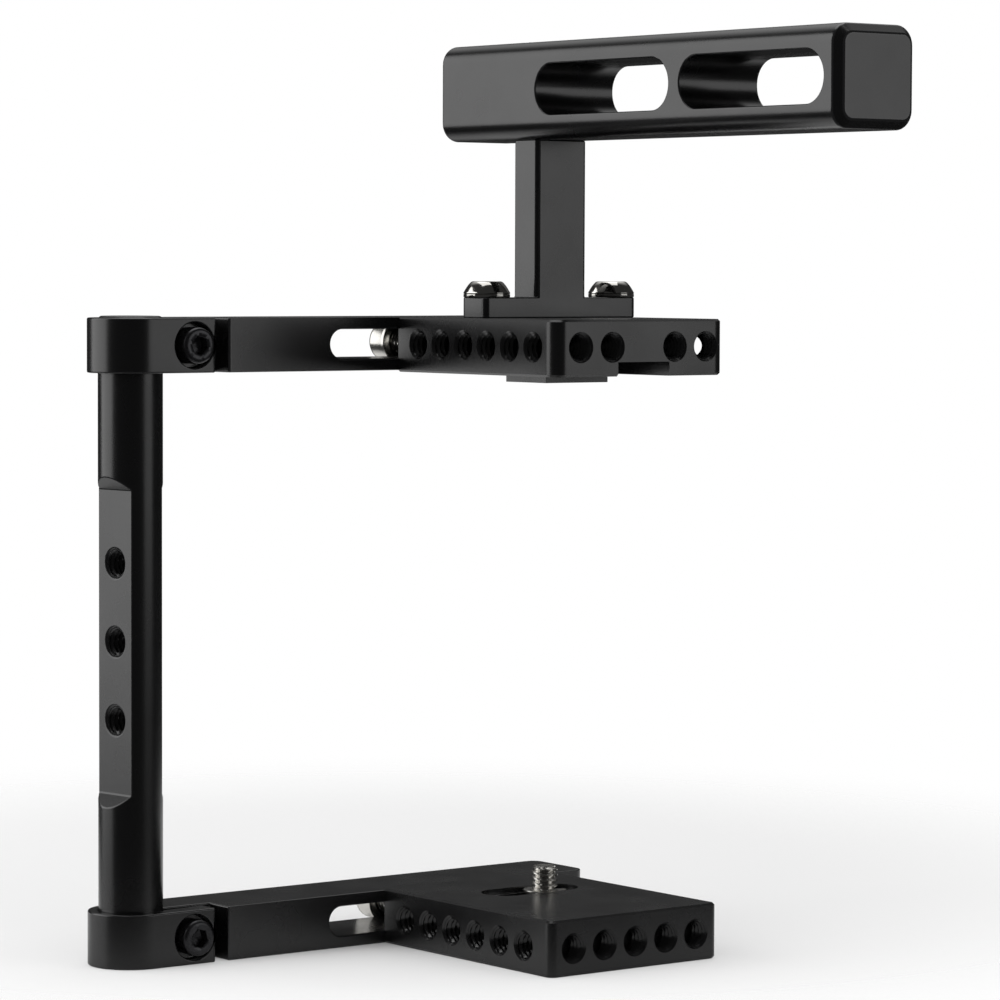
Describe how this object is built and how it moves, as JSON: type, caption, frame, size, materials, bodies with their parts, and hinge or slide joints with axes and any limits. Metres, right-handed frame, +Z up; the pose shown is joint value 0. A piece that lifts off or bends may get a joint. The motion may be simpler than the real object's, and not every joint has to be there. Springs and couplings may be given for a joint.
{
  "type": "camera cage",
  "caption": "Adjustable half cage for a camera: side rod, two slotted arms, drilled base and top plates and a top handle on a post.",
  "frame": {"origin": "the mouth of the tripod hole in the base plate's underside, which is the plane the cage stands on", "axes": "+X along the arms away from the side rod, +Y away from the operator towards the lens, +Z up"},
  "size_m": [0.137, 0.1649, 0.2149],
  "materials": {
    "black_anodised": "bead blasted and anodised black, satin",
    "black_oxide_steel": "black oxide with a thin film of oil",
    "stainless_steel": "polished stainless steel"
  },
  "bodies": {
    "lower_arm": {"lower_arm": "black_anodised"},
    "side_rod": {"side_rod": "black_anodised"},
    "upper_arm": {"upper_arm": "black_anodised"},
    "top_plate": {"top_plate": "black_anodised", "handle_post": "black_anodised", "handle_bar": "black_anodised", "handle_foot_screw_left": "stainless_steel", "handle_foot_screw_right": "stainless_steel", "handle_foot_washer_left": "stainless_steel", "handle_foot_washer_right": "stainless_steel", "handle_bar_screws": "black_oxide_steel", "shoe_foot": "black_anodised", "shoe_screw": "black_oxide_steel", "upper_lock_washer_left": "stainless_steel", "upper_lock_washer_right": "stainless_steel"},
    "base_plate": {"base_plate": "black_anodised", "lower_lock_washer_left": "stainless_steel", "lower_lock_washer_right": "stainless_steel"},
    "camera_screw_washer": {"camera_screw_washer": "stainless_steel"},
    "camera_screw": {"camera_screw": "stainless_steel", "camera_screw_clip": "stainless_steel"},
    "lower_clamp_screw": {"lower_clamp_screw": "black_oxide_steel"},
    "upper_clamp_screw": {"upper_clamp_screw": "black_oxide_steel"},
    "lower_lock_screw_left": {"lower_lock_screw_left": "stainless_steel"},
    "lower_lock_screw_right": {"lower_lock_screw_right": "stainless_steel"},
    "upper_lock_screw_left": {"upper_lock_screw_left": "stainless_steel"},
    "upper_lock_screw_right": {"upper_lock_screw_right": "stainless_steel"}
  },
  "joints": [
    {"name": "rod_swivel", "type": "hinge", "parent": "lower_arm", "child": "side_rod", "pos_m": [-0.0905, 0.056, 0], "axis": [0, 0, 1], "continuous": true},
    {"name": "height_slide", "type": "slide", "parent": "side_rod", "child": "upper_arm", "axis": [0, 0, 1], "range_m": [-0.025, 0]},
    {"name": "top_plate_slide", "type": "slide", "parent": "upper_arm", "child": "top_plate", "axis": [1, 0, 0], "range_m": [-0.0315, 0.0105]},
    {"name": "base_plate_slide", "type": "slide", "parent": "lower_arm", "child": "base_plate", "axis": [1, 0, 0], "range_m": [-0.0275, 0.0155]},
    {"name": "camera_screw_slide", "type": "slide", "parent": "base_plate", "child": "camera_screw_washer", "axis": [1, 0, 0], "range_m": [-0.012, 0.003]},
    {"name": "camera_screw_turn", "type": "hinge", "parent": "camera_screw_washer", "child": "camera_screw", "pos_m": [0.0065, 0.024, 0], "axis": [0, 0, 1], "range_deg": [-1080, 0]},
    {"name": "lower_clamp_turn", "type": "hinge", "parent": "lower_arm", "child": "lower_clamp_screw", "pos_m": [-0.07925, 0.046, 0.00635], "axis": [0, -1, 0], "range_deg": [0, 450]},
    {"name": "upper_clamp_turn", "type": "hinge", "parent": "upper_arm", "child": "upper_clamp_screw", "pos_m": [-0.07925, 0.046, 0.14365], "axis": [0, -1, 0], "range_deg": [0, 450]},
    {"name": "lower_lock_left_turn", "type": "hinge", "parent": "base_plate", "child": "lower_lock_screw_left", "pos_m": [-0.0096, 0.066, 0.00635], "axis": [0, 1, 0], "range_deg": [0, 450]},
    {"name": "lower_lock_right_turn", "type": "hinge", "parent": "base_plate", "child": "lower_lock_screw_right", "pos_m": [0.0096, 0.066, 0.00635], "axis": [0, 1, 0], "range_deg": [0, 450]},
    {"name": "upper_lock_left_turn", "type": "hinge", "parent": "top_plate", "child": "upper_lock_screw_left", "pos_m": [-0.0059, 0.066, 0.14365], "axis": [0, 1, 0], "range_deg": [0, 450]},
    {"name": "upper_lock_right_turn", "type": "hinge", "parent": "top_plate", "child": "upper_lock_screw_right", "pos_m": [0.0143, 0.066, 0.14365], "axis": [0, 1, 0], "range_deg": [0, 450]}
  ]
}
